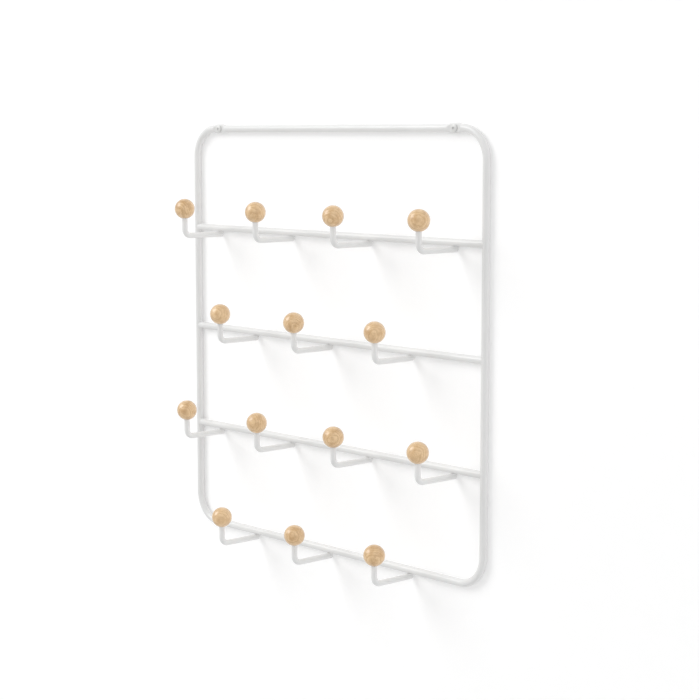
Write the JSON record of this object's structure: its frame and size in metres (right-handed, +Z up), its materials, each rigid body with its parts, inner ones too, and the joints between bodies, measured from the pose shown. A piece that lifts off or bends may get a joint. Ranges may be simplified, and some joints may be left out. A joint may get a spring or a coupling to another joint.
{
  "type": "wall-mounted coat rack",
  "caption": "Square bent-tube coat rack that hangs flat on a wall, with crossbars carrying rows of upturned wire hooks tipped with wooden balls.",
  "frame": {"origin": "midway between the two wall screws, on the wall plane that the back of the frame touches", "axes": "+Z up, +X to the right along the wall as seen from the room, +Y into the wall; the hooks point along -Y"},
  "size_m": [0.5596, 0.1113, 0.5681],
  "materials": {
    "powder_coat": "satin white powder coat",
    "beech": "turned light beech, clear matt lacquer",
    "screw": "white enamelled head, plated shank"
  },
  "bodies": {
    "root": {"frame_tube": "powder_coat", "crossbar_upper": "powder_coat", "crossbar_middle": "powder_coat", "crossbar_lower": "powder_coat", "hook_upper_1": "powder_coat", "hook_upper_2": "powder_coat", "hook_upper_3": "powder_coat", "hook_upper_4": "powder_coat", "hook_middle_1": "powder_coat", "hook_middle_2": "powder_coat", "hook_middle_3": "powder_coat", "hook_lower_1": "powder_coat", "hook_lower_2": "powder_coat", "hook_lower_3": "powder_coat", "hook_lower_4": "powder_coat", "hook_bottom_1": "powder_coat", "hook_bottom_2": "powder_coat", "hook_bottom_3": "powder_coat", "ball_upper_1": "beech", "ball_upper_2": "beech", "ball_upper_3": "beech", "ball_upper_4": "beech", "ball_middle_1": "beech", "ball_middle_2": "beech", "ball_middle_3": "beech", "ball_lower_1": "beech", "ball_lower_2": "beech", "ball_lower_3": "beech", "ball_lower_4": "beech", "ball_bottom_1": "beech", "ball_bottom_2": "beech", "ball_bottom_3": "beech", "wall_screw_left": "screw", "wall_screw_right": "screw"}
  },
  "joints": []
}
